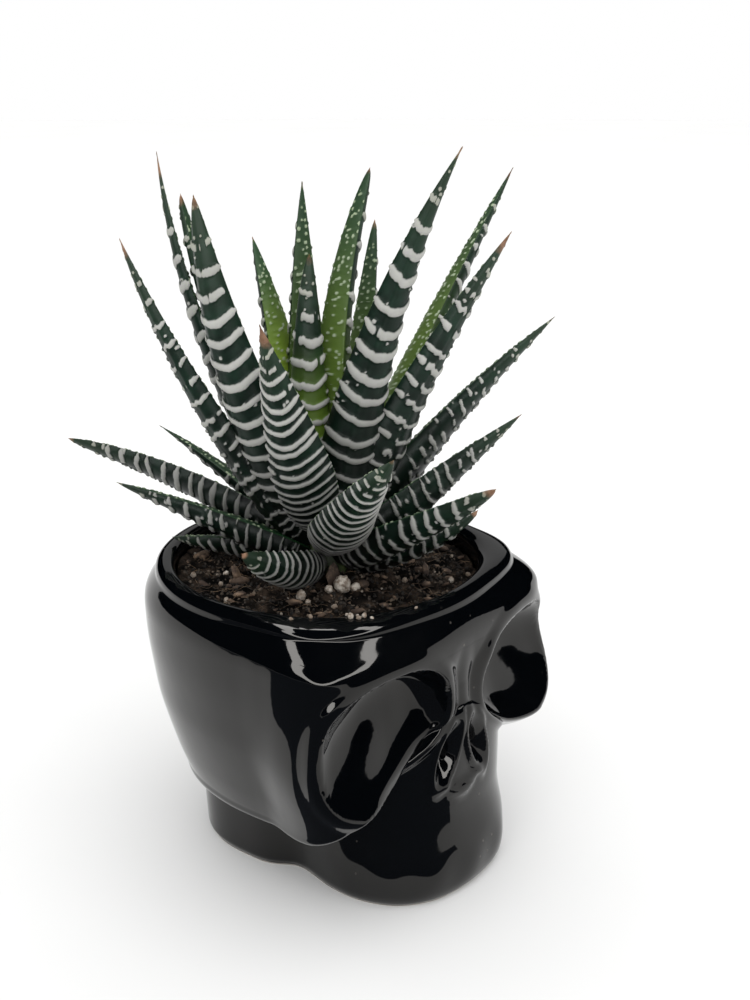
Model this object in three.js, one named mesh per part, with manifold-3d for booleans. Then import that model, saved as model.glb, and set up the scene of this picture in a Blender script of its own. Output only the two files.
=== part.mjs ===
// A zebra haworthia in a black glazed skull planter.
// Millimetres, +Z up, the pot stands on Z = 0 and its face looks along -Y.
import * as THREE from "three";
import { mergeVertices } from "three/addons/utils/BufferGeometryUtils.js";
import Module from "manifold-3d";

const wasm = await Module();
wasm.setup();

// Driving dimensions
const POT_HEIGHT = 78;
const OPENING_R = 37;
const NECK_R = 33.5;
const LIP_R = 40.8;
const LIP_CORNER_R = 43.8;
const JAW_TURN = 5;
const JAW_SHIFT = 5;
const WALL = 4;
const FLOOR = 5;
const GAP = 0.3;
const SOIL_LEVEL = 73.2;
const STEM_R = 6;
const STEM_FOOT = 60;
const STEM_SHOULDER = 76;
const STEM_TOP = 92;
const STEM_TAPER = 0.2;
const BAND_HEIGHT = 0.55;
const BAND_HALF = 0.95;
const LEAF_CLEARANCE = 0.08;
const TRIM_RINGS = 7;
const BENT_TRIM_RINGS = 11;
const STRONG_BEND = 30;
const LEAF_DEPTH = 0.44;
const LEAF_CROWN = 0.1;
const LEAF_FOOT = 0.6;
const LEAF_BELLY = 0.16;
const TIP_WIDTH = 1.5;

// Materials
function material(name, colour, roughness) {
  return new THREE.MeshStandardMaterial({ name, color: colour, roughness, metalness: 0 });
}
const glaze = material("black glaze", "#08090b", 0.08);
const peat = material("potting soil", "#2a211b", 0.95);
const bark = material("stem", "#5b6a3a", 0.8);
const leafGreen = material("leaf", "#1f3a2b", 0.5);

// Small helpers
const rad = THREE.MathUtils.degToRad;
const mix = THREE.MathUtils.lerp;
const ramp = THREE.MathUtils.smoothstep;

function seeded(seed) {
  let state = seed;
  return () => {
    state = (state * 16807) % 2147483647;
    return state / 2147483647;
  };
}

// A hill of height 1 at the centre that fades to nothing at distance 1
function hill(distance) {
  return distance < 1 ? (1 + Math.cos(Math.PI * distance)) / 2 : 0;
}

// The value at x of a smooth curve through a few stations [x, value]
function along(stations, x) {
  let k = 0;
  while (k < stations.length - 2 && x > stations[k + 1][0]) k += 1;
  const slope = (i) => {
    const before = stations[Math.max(0, i - 1)];
    const after = stations[Math.min(stations.length - 1, i + 1)];
    return i === 0 || i === stations.length - 1 ? 0 : (after[1] - before[1]) / (after[0] - before[0]);
  };
  const [x0, a] = stations[k];
  const [x1, b] = stations[k + 1];
  const span = x1 - x0;
  const t = THREE.MathUtils.clamp((x - x0) / span, 0, 1);
  const rest = 1 - t;
  const level = a * rest * rest * (1 + 2 * t) + b * t * t * (3 - 2 * t);
  return level + span * t * rest * (slope(k) * rest - slope(k + 1) * t);
}

function solid(geometry) {
  geometry.deleteAttribute("normal");
  geometry.deleteAttribute("uv");
  const merged = mergeVertices(geometry, 1e-4);
  return new wasm.Manifold(new wasm.Mesh({
    numProp: 3,
    vertProperties: new Float32Array(merged.attributes.position.array),
    triVerts: new Uint32Array(merged.index.array),
  }));
}

function largestPiece(body) {
  const pieces = body.decompose();
  return pieces.reduce((best, piece) => (piece.volume() > best.volume() ? piece : best));
}

function named(body, name, look) {
  const mesh = body.getMesh();
  const geometry = new THREE.BufferGeometry();
  geometry.setAttribute("position", new THREE.BufferAttribute(mesh.vertProperties, 3));
  geometry.setIndex(new THREE.BufferAttribute(mesh.triVerts, 1));
  geometry.computeVertexNormals();
  const part = new THREE.Mesh(geometry, look);
  part.name = name;
  return part;
}

// Every turned body is a lathe whose points are moved to place(row, turn),
// where turn is the angle from the face, positive towards +X
function turned(rows, columns, warp, place) {
  const profile = [];
  for (let row = 0; row < rows; row += 1) {
    const onAxis = row === 0 || row === rows - 1;
    profile.push(new THREE.Vector2(onAxis ? 0 : 1, row));
  }
  const geometry = new THREE.LatheGeometry(profile, columns);
  const position = geometry.attributes.position;
  for (let i = 0; i < position.count; i += 1) {
    const row = i % rows;
    const column = Math.floor(i / rows) % columns;
    const turn = warp(column / columns);
    const { radius, height } = place(row, turn);
    position.setXYZ(i, radius * Math.sin(turn), -radius * Math.cos(turn), height);
  }
  return solid(geometry);
}

function evenTurn(share) {
  return (share - 0.5) * 2 * Math.PI;
}

// Columns stand closer together on the face than on the back of the head
function faceTurn(share) {
  const s = (share - 0.5) * 2;
  return Math.PI * (0.46 * s + 0.54 * s * s * s * s * s);
}

// Outline of the cranium seen from above, as degrees from the face and radius: flat sides,
// square temples and a round back
const CRANIUM_PLAN = [[0, 43.6], [14, 44.7], [28, 48], [38, 51.2], [45, 53], [50, 52.8], [55, 51.3],
  [60, 49.4], [66, 47.2], [74, 45.2], [86, 44], [100, 43.7], [128, 44.8], [155, 45.6], [180, 45.6]];
function craniumPlan(turn) {
  return along(CRANIUM_PLAN, Math.abs(THREE.MathUtils.radToDeg(turn)));
}

// Outline of the jaw and neck that the skull stands on, narrow at the waist; the jaw stands
// slightly askew under the cranium
const JAW_PLAN = [[0, 43], [12, 43], [20, 42.3], [28, 40.8], [36, 38.2], [43, 35.6], [51, 32.4],
  [62, 28.6], [71, 26.8], [80, 26.6], [95, 29.2], [112, 31.2], [134, 34.6], [156, 35.8], [180, 35.8]];
function jawPlan(turn) {
  const askew = turn - rad(JAW_TURN);
  const degrees = THREE.MathUtils.radToDeg(Math.acos(Math.cos(askew)));
  return along(JAW_PLAN, degrees) + JAW_SHIFT * Math.sin(askew);
}

// Height of the edge under the cheek and the back of the head
const EDGE_HEIGHT = [[0, 51], [7, 49], [14, 45], [20, 41], [27, 36.6], [35, 32.4], [44, 27.6], [54, 22.6],
  [64, 20], [74, 19], [130, 19], [180, 18]];
function edgeHeight(turn) {
  return along(EDGE_HEIGHT, Math.abs(THREE.MathUtils.radToDeg(turn)));
}

// How full the cranium is at each height
const FULLNESS = [[18, 0.76], [26, 0.83], [32, 0.875], [44, 0.945], [52, 0.972], [60, 0.993], [67, 1],
  [78, 1]];

// The lip follows the corners of the cranium a little
function lipRadius(turn) {
  return mix(LIP_R, LIP_CORNER_R, ramp(craniumPlan(turn), 44, 53));
}

function craniumRadius(turn, height) {
  const side = Math.abs(THREE.MathUtils.radToDeg(turn));
  const front = height < 66 ? ramp(Math.cos(turn), 0.35, 0.75) : 0;
  const plan = craniumPlan(turn) * mix(along(FULLNESS, height), 1, front);
  const cheek = 3.6 * hill(Math.hypot((side - 48) / 24, (height - 43) / 19));
  const brow = -1.8 * hill(Math.hypot(side / 13, (height - 55) / 14));
  return mix(plan + cheek + brow, lipRadius(turn), ramp(height, 66, POT_HEIGHT) ** 1.9);
}

// The eye sockets: wide rounded hollows with a raised rim, cut off towards the nose below
function socketRelief(turn, height) {
  const across = (Math.abs(THREE.MathUtils.radToDeg(turn)) - 28.5) * 0.85;
  const up = height - 50.8;
  const oval = (Math.abs(across / 17.6) ** 2.3 + Math.abs(up / 16) ** 2.3) ** (1 / 2.3);
  const slant = Math.max(0, (-0.526 * across - 0.85 * up) / 12.8);
  const reach = (oval ** 6 + slant ** 6) ** (1 / 6);
  const bowl = reach < 1 ? -(8.2 + 0.05 * across + 0.3 * up) * (1 - reach ** 4.5) : 0;
  const rim = 1.2 * hill(Math.abs(reach - 1.08) / 0.2);
  return bowl + rim;
}

// The nose: two leaning pear-shaped holes with a ridge between and a curved lip below
function noseRelief(turn, height) {
  const across = Math.abs(THREE.MathUtils.radToDeg(turn)) * 0.76;
  const up = height - 39.5;
  const reach = Math.hypot((across - 4.9 + up * 0.3) / 2.7, up / 7.2);
  const hole = -3.4 * hill(reach);
  const ring = hill(Math.abs(reach - 1.25) / 0.45);
  const lip = 1.3 * hill(Math.hypot(across / 9.5, (up + 11 - 0.07 * across * across) / 3));
  const bridge = hill(Math.hypot(across / 4.5, (up - 15) / 14));
  return hole + ring + lip + bridge;
}

// The jaw flares out a little where it meets the table
function jawRadius(turn, height) {
  const flare = 2.2 * hill(Math.abs(height - 7) / 16) * ramp(Math.cos(turn), 0.4, 0.9);
  const front = ramp(Math.cos(turn), 0.5, 0.9);
  const teeth = 0.25 * Math.sin(turn * 22) * hill(Math.abs(height - 7) / 8) * front;
  const foot = -1.1 * hill(height / 2.2);
  const rise = 1 + 0.0012 * height * ramp(-Math.cos(turn), -0.3, 0.5);
  return jawPlan(turn) * rise + flare + teeth + foot;
}

const JAW_ROWS = 8;
const UNDER_ROWS = 4;
const SIDE_ROWS = 7;
const CROWN_HEIGHTS = [71, 74.4, 76.8];
const UNDER_RISE = 6;

// One station of the pot's outer skin, counted from the centre of the foot to the top
function potStation(row, turn) {
  if (row === 0) return { radius: 0, height: 0 };
  const edge = edgeHeight(turn);
  let step = row - 1;
  let radius = 0;
  let height = 0;
  if (step <= JAW_ROWS) {
    height = edge * (1 - (1 - step / JAW_ROWS) ** 1.35);
    radius = jawRadius(turn, height);
  } else if (step <= JAW_ROWS + UNDER_ROWS) {
    const share = (step - JAW_ROWS) / UNDER_ROWS;
    height = edge + UNDER_RISE * (1 - Math.cos(share * Math.PI / 2));
    const inner = jawRadius(turn, edge);
    radius = mix(inner, craniumRadius(turn, edge + UNDER_RISE), Math.sin(share * Math.PI / 2));
  } else if (step <= JAW_ROWS + UNDER_ROWS + SIDE_ROWS) {
    const share = (step - JAW_ROWS - UNDER_ROWS) / SIDE_ROWS;
    height = mix(edge + UNDER_RISE, CROWN_HEIGHTS[0] - 3, share);
    radius = craniumRadius(turn, height);
  } else {
    step -= JAW_ROWS + UNDER_ROWS + SIDE_ROWS + 1;
    if (step < CROWN_HEIGHTS.length) {
      height = CROWN_HEIGHTS[step];
      radius = craniumRadius(turn, height);
    } else {
      return { radius: step === CROWN_HEIGHTS.length ? lipRadius(turn) - 1.6 : 0, height: POT_HEIGHT };
    }
  }
  return { radius: radius + socketRelief(turn, height) + noseRelief(turn, height), height };
}

function potOuter() {
  const rows = 1 + JAW_ROWS + 1 + UNDER_ROWS + SIDE_ROWS + CROWN_HEIGHTS.length + 2;
  return turned(rows, 72, faceTurn, potStation);
}

// The hollow inside the wall, round at the opening and following the jaw below
const HOLLOW_HEIGHTS = [FLOOR, FLOOR, 22, 30, 40, 56, 63, 70, 76.2, 77.3, 78.6];
function hollow(inset) {
  const last = HOLLOW_HEIGHTS.length;
  return turned(last + 1, 32, evenTurn, (row, turn) => {
    const height = HOLLOW_HEIGHTS[Math.min(row, last - 1)] + (row < 2 ? inset : 0);
    if (row === 0 || row === last) return { radius: 0, height };
    const lower = Math.min(jawPlan(turn) - WALL - (row === 1 ? 2 : 0), NECK_R);
    const upper = mix(NECK_R, OPENING_R, ramp(height, 56, 70));
    const flare = height > 76.5 ? 0.55 * (height - 76.2) : 0;
    return { radius: mix(lower, upper, ramp(height, 27, 40)) + flare - inset, height };
  });
}

function potBody() {
  return largestPiece(potOuter().subtract(hollow(0)));
}

// The soil's crumbly top, a little higher on one side and heaped round the plant
function soilHeight(x, y) {
  const lumps = 0.35 * Math.sin(x * 0.62 + 1.3) * Math.cos(y * 0.51)
    + 0.25 * Math.sin(x * 1.1 - y * 0.9 + 0.4);
  const tilt = -0.03 * (0.65 * x - 0.76 * y);
  const heap = 1.6 * hill(Math.hypot(x, y) / 24);
  return SOIL_LEVEL + lumps + tilt + heap;
}

// The soil fills the hollow up to its crumbly top
function soilTop() {
  const rings = 5;
  return turned(rings + 3, 24, evenTurn, (row, turn) => {
    if (row === 0) return { radius: 0, height: 0 };
    if (row === 1) return { radius: OPENING_R + 4, height: 0 };
    const radius = ((OPENING_R + 4) * (rings + 2 - row)) / rings;
    return { radius, height: soilHeight(radius * Math.sin(turn), -radius * Math.cos(turn)) };
  });
}

function stemHole() {
  const profile = [[0, STEM_FOOT - GAP], [STEM_R + GAP, STEM_FOOT - GAP], [STEM_R + GAP, 90], [0, 90]];
  return turned(4, 16, evenTurn, (row) => ({ radius: profile[row][0], height: profile[row][1] }));
}

// The lowest leaves lie in hollows of the soil that follow their undersides
function soilBody() {
  let body = hollow(GAP).intersect(soilTop()).subtract(stemHole());
  LEAVES.filter((leaf) => leaf.inSoil).forEach((leaf) => {
    body = body.subtract(leafBody(leaf, smoothRings(TRIM_RINGS), BAND_HEIGHT + GAP));
  });
  return largestPiece(body);
}

// The short stem: straight in the soil, tapering between the leaf bases
function stemRadius(height) {
  return height < STEM_SHOULDER ? STEM_R : STEM_R - (height - STEM_SHOULDER) * STEM_TAPER;
}

function stemBody(grow) {
  const top = stemRadius(STEM_TOP - 1);
  const profile = [
    [0, STEM_FOOT - grow],
    [STEM_R + grow, STEM_FOOT - grow],
    [STEM_R + grow, STEM_SHOULDER],
    [top + grow, STEM_TOP - 1],
    [top * 0.6 + grow, STEM_TOP + grow * 0.6],
    [0, STEM_TOP + 0.4 + grow],
  ];
  return turned(6, 16, evenTurn, (row) => ({ radius: profile[row][0], height: profile[row][1] }));
}

// Width of a leaf at a share of its length
function leafWidth(leaf, share) {
  const { foot = LEAF_FOOT, belly = LEAF_BELLY } = leaf;
  const base = mix(foot, 1, Math.sin((Math.PI / 2) * Math.min(1, share / belly)));
  return Math.max(TIP_WIDTH, leaf.width * base * (1 - share) ** leaf.taper);
}

// Shares of the length at which the rings of a leaf stand: three for each band, or two
function leafRings(leaf) {
  const rings = [{ share: 0, raised: 0, band: -1 }];
  for (let band = 0; band < leaf.bands; band += 1) {
    const even = (band + 0.6) / leaf.bands;
    const share = 0.1 + 0.88 * (1 - (1 - even) ** 1.2);
    const half = Math.min(BAND_HALF / leaf.length, 0.36 / leaf.bands);
    if (leaf.plain || share > 0.68) {
      rings.push({ share: share - 0.5 / leaf.bands, raised: 0, band });
    } else {
      rings.push({ share: share - half, raised: 0, band });
    }
    rings.push({ share, raised: 1, band });
    if (!leaf.plain && share < 0.68) rings.push({ share: share + half, raised: 0, band });
  }
  rings.push({ share: 1, raised: 0, band: -1 });
  return rings;
}

function smoothRings(count) {
  const rings = [];
  for (let k = 0; k <= count; k += 1) rings.push({ share: k / count, raised: 0, band: -1 });
  return rings;
}

// The way a leaf points at a share of its length
function leafDirection(leaf, share) {
  const around = rad(leaf.around + leaf.swing * share);
  const rise = rad(leaf.rise + leaf.bend * share);
  const flat = Math.cos(rise);
  return new THREE.Vector3(Math.cos(around) * flat, Math.sin(around) * flat, Math.sin(rise));
}

// The middle line of a leaf with the directions of its width and of its inner face
function leafSpine(leaf, rings) {
  const start = stemRadius(leaf.from) - 0.8;
  const steps = 4;
  const place = new THREE.Vector3(Math.cos(rad(leaf.around)), Math.sin(rad(leaf.around)), 0);
  place.multiplyScalar(start).setZ(leaf.from);
  const frames = [];
  let last = 0;
  rings.forEach((ring) => {
    const stretch = (ring.share - last) / steps;
    for (let k = 0; k < steps; k += 1) {
      const direction = leafDirection(leaf, last + stretch * (k + 0.5));
      place.addScaledVector(direction, stretch * leaf.length);
    }
    last = ring.share;
    const tangent = leafDirection(leaf, ring.share);
    const around = rad(leaf.around + leaf.swing * ring.share);
    const side = new THREE.Vector3(-Math.sin(around), Math.cos(around), 0);
    const inner = new THREE.Vector3().crossVectors(tangent, side);
    side.applyAxisAngle(tangent, rad(leaf.roll));
    inner.applyAxisAngle(tangent, rad(leaf.roll));
    frames.push({ place: place.clone(), tangent, side, inner });
  });
  return frames;
}

// Five corners on the rounded outer face and one on the flat inner face
const CORNERS = 6;
function leafBody(leaf, rings, grow) {
  const random = seeded(leaf.seed);
  const frames = leafSpine(leaf, rings);
  const geometry = new THREE.CylinderGeometry(1, 1, rings.length - 1, CORNERS, rings.length - 1);
  const relief = rings.map((ring) => {
    const fade = ring.share > 0.75 ? 0.6 : 1;
    return Array.from({ length: CORNERS }, () => ring.raised * fade * mix(0.55, 1, random()));
  });
  const position = geometry.attributes.position;
  const point = new THREE.Vector3();
  for (let i = 0; i < position.count; i += 1) {
    point.fromBufferAttribute(position, i);
    const row = Math.round(point.y + (rings.length - 1) / 2);
    const { place, tangent, side, inner } = frames[row];
    const ring = rings[row];
    const width = leafWidth(leaf, ring.share);
    const spot = place.clone();
    if (Math.hypot(point.x, point.z) > 0.5) {
      const turn = Math.atan2(point.x, point.z) / (2 * Math.PI);
      const corner = (Math.round(turn * CORNERS) + CORNERS) % CORNERS;
      const onInner = corner === CORNERS - 1;
      const angle = onInner ? -Math.PI / 2 : (corner / (CORNERS - 2)) * Math.PI;
      const band = onInner ? 0 : relief[row][corner] * Math.min(BAND_HEIGHT, width * 0.08);
      const wave = ring.raised && !onInner ? 0.35 * Math.sin(corner * 2.1 + ring.band * 1.7) : 0;
      const wide = width / 2 + band + grow;
      const deep = (onInner ? width * LEAF_CROWN : width * LEAF_DEPTH) + band + grow;
      spot.addScaledVector(side, -wide * Math.cos(angle));
      spot.addScaledVector(inner, -deep * Math.sin(angle));
      spot.addScaledVector(tangent, wave);
    } else if (row > 0) {
      spot.addScaledVector(tangent, 0.8 + grow);
    } else {
      spot.addScaledVector(inner, -width * 0.12);
    }
    position.setXYZ(i, spot.x, spot.y, spot.z);
  }
  return solid(geometry);
}

// The leaves from the heart outwards; around is counted from +X, rise above the horizon,
// bend and swing are the turns of the leaf upwards and sideways over its length
const LEAVES = [
  { name: "leaf_heart_front", around: 152.6, rise: 86.1, bend: 7, swing: 0, length: 62.5,
    width: 12.5, taper: 0.55, roll: 75, from: 87.7, bands: 9 },
  { name: "leaf_heart_back", around: 70.9, rise: 78.5, bend: 12.8, swing: 0, length: 77.8,
    width: 16.5, taper: 0.82, roll: 0, from: 88, bands: 8, plain: true },
  { name: "leaf_heart_right", around: 352.9, rise: 99.8, bend: -35, swing: -4, length: 82.4,
    width: 13.5, taper: 0.52, roll: 0, from: 88, bands: 9, plain: true },
  { name: "leaf_heart_left", around: 93.7, rise: 80.3, bend: -13.5, swing: -5, length: 68.1,
    width: 16.5, taper: 0.72, roll: 0, from: 87, bands: 8, plain: true },
  { name: "leaf_back_slender", around: 5.2, rise: 74.1, bend: 4.4, swing: 2, length: 72.9,
    width: 10.5, taper: 0.55, roll: 0, from: 85, bands: 9, plain: true },
  { name: "leaf_left_tall", around: 158.8, rise: 58.9, bend: 23.2, swing: 2, length: 82.6,
    width: 18, taper: 0.65, roll: 35, from: 87, bands: 13 },
  { name: "leaf_left_hidden", around: 121.2, rise: 61.7, bend: 14.3, swing: -1.5, length: 82.6,
    width: 13.5, taper: 0.5, roll: 0, from: 86, bands: 7, plain: true },
  { name: "leaf_left_outer", around: 122, rise: 54.9, bend: 27.8, swing: 0, length: 95.4,
    width: 11, taper: 0.75, roll: 25, from: 84, bands: 10, plain: true },
  { name: "leaf_right_tall", around: 273.1, rise: 81.2, bend: -24.3, swing: 1, length: 95.1,
    width: 17.3, taper: 0.9, roll: -35, from: 86.5, bands: 13 },
  { name: "leaf_right_long", around: 351.9, rise: 58.3, bend: -7.6, swing: -3, length: 99,
    width: 18, taper: 0.79, roll: -25, from: 86, bands: 12, plain: true },
  { name: "leaf_right_broad", around: 304.8, rise: 68.4, bend: -14.1, swing: 5, length: 81,
    width: 17, taper: 0.74, roll: -35, from: 84.5, bands: 13 },
  { name: "leaf_left_hooked", around: 141.4, rise: 51.8, bend: 17.4, swing: 1, length: 83.4,
    width: 13.8, taper: 0.75, roll: 25, from: 82.3, bands: 13 },
  { name: "leaf_front_broad", around: 189.9, rise: 69.2, bend: -6.3, swing: 5, length: 57.4,
    width: 25, taper: 0.92, roll: 0, from: 86, foot: 0.35, belly: 0.4, bands: 14 },
  { name: "leaf_right_leaning", around: 327.9, rise: 51, bend: -15.9, swing: -2, length: 74,
    width: 17.7, taper: 0.77, roll: -35, from: 82.5, bands: 13 },
  { name: "leaf_back_low", around: 98.6, rise: 31.2, bend: -11.8, swing: 3, length: 51.8,
    width: 11.6, taper: 0.87, roll: 15, from: 80.6, bands: 9, plain: true },
  { name: "leaf_front_short", around: 233.6, rise: 39.4, bend: -7.1, swing: 9, length: 59.3,
    width: 18, taper: 0.68, roll: 0, from: 82, foot: 0.4, belly: 0.32, bands: 13 },
  { name: "leaf_right_low", around: 301.7, rise: 42.6, bend: -4.8, swing: 0, length: 54.3,
    width: 18.5, taper: 0.8, roll: -30, from: 79.5, bands: 11 },
  { name: "leaf_left_long", around: 107.9, rise: 26.3, bend: -19.4, swing: 7, length: 70.2,
    width: 14.2, taper: 0.55, roll: 40, from: 80, bands: 13, inSoil: true },
  { name: "leaf_front_right", around: 275.6, rise: 27.9, bend: 3.9, swing: -4, length: 49.3,
    width: 13.5, taper: 0.52, roll: -30, from: 79, bands: 11, inSoil: true },
  { name: "leaf_left_low", around: 130.4, rise: 25, bend: -8.9, swing: 0, length: 48.8,
    width: 15, taper: 0.69, roll: 25, from: 78.6, bands: 10, plain: true, inSoil: true },
  { name: "leaf_soil_front", around: 196.2, rise: 16, bend: 16.2, swing: -2, length: 37.4,
    width: 12.5, taper: 0.55, roll: 60, from: 76, foot: 0.45, belly: 0.4, bands: 9, inSoil: true },
  { name: "leaf_soil_left", around: 121, rise: 4, bend: -6, swing: 3, length: 34.5,
    width: 13.5, taper: 0.58, roll: 25, from: 79, bands: 9, inSoil: true },
  { name: "leaf_soil_right", around: 294.4, rise: 8.6, bend: 32.5, swing: -2, length: 36.2,
    width: 10.5, taper: 0.52, roll: -30, from: 77.4, bands: 11, inSoil: true },
  { name: "leaf_back_mid", around: 41, rise: 48, bend: -4, swing: 0, length: 52,
    width: 11, taper: 0.75, roll: 0, from: 82, bands: 7, plain: true },
  { name: "leaf_back_right", around: 13, rise: 30, bend: -4, swing: 0, length: 48,
    width: 11, taper: 0.75, roll: 0, from: 79, bands: 7, plain: true },
  { name: "leaf_back_left", around: 69, rise: 26, bend: -4, swing: 0, length: 50,
    width: 11, taper: 0.75, roll: 0, from: 78.5, bands: 7, plain: true },
  { name: "leaf_back_soil", around: 41, rise: 14, bend: 2, swing: 0, length: 46,
    width: 11, taper: 0.75, roll: 0, from: 76.5, bands: 7, plain: true, inSoil: true },
];
LEAVES.forEach((leaf, k) => { leaf.seed = 1013 + 97 * k; });

// Each leaf is trimmed clear of the stem and of the leaves nearer the heart
function leafBodies() {
  const clearances = [stemBody(GAP)];
  return LEAVES.map((leaf) => {
    let body = leafBody(leaf, leafRings(leaf), 0);
    clearances.forEach((other) => { body = body.subtract(other); });
    const rings = Math.abs(leaf.bend) > STRONG_BEND ? BENT_TRIM_RINGS : TRIM_RINGS;
    clearances.push(leafBody(leaf, smoothRings(rings), BAND_HEIGHT + LEAF_CLEARANCE));
    return { name: leaf.name, body: largestPiece(body) };
  });
}

const group = new THREE.Group();
group.name = "potted_haworthia";
group.add(named(potBody(), "skull_planter", glaze));
group.add(named(soilBody(), "potting_soil", peat));
group.add(named(stemBody(0), "stem", bark));
leafBodies().forEach(({ name, body }) => group.add(named(body, name, leafGreen)));

export default group;
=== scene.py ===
"""Zebra haworthia in a black glazed skull planter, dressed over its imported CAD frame.

Lengths are in millimetres, unless a comment says metres, and are turned into metres by MM.
"""
import math
import random

import bmesh
import bpy
from bpy.props import FloatProperty, FloatVectorProperty, IntProperty, PointerProperty
from bpy.types import Operator, Panel, PropertyGroup
from mathutils import Euler, Matrix, Vector, noise


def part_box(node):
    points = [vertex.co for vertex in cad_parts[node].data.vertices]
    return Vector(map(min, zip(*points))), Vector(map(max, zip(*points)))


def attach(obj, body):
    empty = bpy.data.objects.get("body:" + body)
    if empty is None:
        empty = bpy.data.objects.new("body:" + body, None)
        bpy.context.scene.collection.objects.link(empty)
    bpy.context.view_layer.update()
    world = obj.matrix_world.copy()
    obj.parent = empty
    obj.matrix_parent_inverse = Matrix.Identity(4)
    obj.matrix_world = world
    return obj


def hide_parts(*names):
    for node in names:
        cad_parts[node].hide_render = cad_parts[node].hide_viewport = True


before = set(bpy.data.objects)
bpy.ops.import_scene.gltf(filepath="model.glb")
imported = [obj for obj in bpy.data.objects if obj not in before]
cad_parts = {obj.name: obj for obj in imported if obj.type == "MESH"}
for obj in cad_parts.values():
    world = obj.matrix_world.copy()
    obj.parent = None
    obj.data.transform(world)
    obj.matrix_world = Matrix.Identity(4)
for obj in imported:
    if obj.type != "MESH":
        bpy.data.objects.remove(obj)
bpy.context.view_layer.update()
MM = 0.001

bl_info = {
    "name": "Zebra Haworthia in a Skull Planter",
    "version": (1, 0, 0),
    "blender": (4, 5, 0),
    "location": "3D View > Sidebar > Haworthia",
    "description": "Builds a potted zebra haworthia with its planter, soil, leaves and studio stage",
    "category": "Add Mesh",
}


# Settings that a user would change

class PlanterSettings(PropertyGroup):
    """Sizes and finish of the skull planter"""
    height: FloatProperty(
        name="Height", description="Height of the planter in millimetres",
        default=round(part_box("skull_planter")[1][2] / MM, 2), min=40, max=160)
    opening_radius: FloatProperty(
        name="Opening radius", description="Radius of the round opening in millimetres",
        default=37.0, min=20, max=60)
    lip_radius: FloatProperty(
        name="Lip radius", description="Radius of the outside of the lip in millimetres",
        default=40.8, min=24, max=70)
    lip_corner: FloatProperty(
        name="Lip corner", description="Radius of the lip at the temples in millimetres",
        default=43.8, min=24, max=70)
    glaze: FloatVectorProperty(
        name="Glaze", description="Colour of the black glaze", subtype="COLOR",
        default=(0.0010, 0.0014, 0.0020), min=0, max=1)
    gloss_roughness: FloatProperty(
        name="Glaze roughness", description="Roughness of the glaze", subtype="FACTOR",
        default=0.045, min=0, max=1)
    columns: IntProperty(name="Columns", description="Faces round the planter", default=360, min=48, max=512)


class SoilSettings(PropertyGroup):
    """Sizes and colours of the potting soil"""
    level: FloatProperty(
        name="Level", description="Height of the soil above the foot in millimetres",
        default=73.2, min=50, max=78)
    crumbs: IntProperty(name="Crumbs", description="Loose crumbs of peat", default=2400, min=0, max=5000)
    fibres: IntProperty(
        name="Fibres", description="Fine fibres and roots in the peat", default=230, min=0, max=1000)
    peat: FloatVectorProperty(
        name="Peat", description="Colour of the damp peat", subtype="COLOR",
        default=(0.020, 0.014, 0.010), min=0, max=1)
    seed: IntProperty(name="Seed", description="Seed of the loose pieces", default=11, min=0, max=9999)


class LeafSettings(PropertyGroup):
    """Relief and colours of the leaves"""
    band_height: FloatProperty(
        name="Band height", description="How far the white bands stand out in millimetres",
        default=0.5, min=0, max=1.5)
    ring_step: FloatProperty(
        name="Ring step", description="Distance between rings of the leaf mesh in millimetres",
        default=0.3, min=0.15, max=2)
    columns: IntProperty(name="Columns", description="Faces round a leaf", default=44, min=16, max=96)
    green: FloatVectorProperty(
        name="Green", description="Dark green of the outer face", subtype="COLOR",
        default=(0.0055, 0.0195, 0.0115), min=0, max=1)
    band: FloatVectorProperty(
        name="Band", description="Colour of the raised bands", subtype="COLOR",
        default=(0.44, 0.44, 0.415), min=0, max=1)


class StageSettings(PropertyGroup):
    """Camera and light of the studio stage"""
    lens: FloatProperty(
        name="Lens", description="Focal length in millimetres", default=43.78, min=10, max=300)
    air: FloatProperty(
        name="Air", description="Brightness of the pale surroundings", default=1.0, min=0, max=4)
    key_power: FloatProperty(
        name="Key power", description="Strength of the large soft light from above",
        default=1.1, min=0, max=20)
    glints: FloatProperty(
        name="Glints", description="Brightness of the ribbon that the glaze mirrors",
        default=7.0, min=0, max=20)
    card: FloatVectorProperty(
        name="Card", description="Colour of the dark card", subtype="COLOR",
        default=(0.06, 0.065, 0.075), min=0, max=1)
    floor: FloatVectorProperty(
        name="Floor", description="Colour of the floor and backdrop", subtype="COLOR",
        default=(0.86, 0.86, 0.855), min=0, max=1)


# Small helpers

def mix(a, b, t):
    return a + (b - a) * t


def ramp(x, low, high):
    """Smooth step of x from low to high."""
    t = min(1.0, max(0.0, (x - low) / (high - low)))
    return t * t * (3 - 2 * t)


def hill(distance):
    """A hill of height 1 at the centre that fades to nothing at distance 1."""
    return (1 + math.cos(math.pi * distance)) / 2 if distance < 1 else 0.0


def along(stations, x):
    """The value at x of a smooth curve through a few stations (x, value)."""
    last = len(stations) - 1
    k = 0
    while k < last - 1 and x > stations[k + 1][0]:
        k += 1

    def slope(i):
        if i in (0, last):
            return 0.0
        return (stations[i + 1][1] - stations[i - 1][1]) / (stations[i + 1][0] - stations[i - 1][0])

    x0, a = stations[k]
    x1, b = stations[k + 1]
    span = x1 - x0
    t = min(1.0, max(0.0, (x - x0) / span))
    rest = 1 - t
    level = a * rest * rest * (1 + 2 * t) + b * t * t * (3 - 2 * t)
    return level + span * t * rest * (slope(k) * rest - slope(k + 1) * t)


def grain(x, y, z, scale):
    """Smooth noise between -1 and 1 whose lumps are about scale wide."""
    return noise.noise(Vector((x / scale, y / scale, z / scale)))


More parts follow.
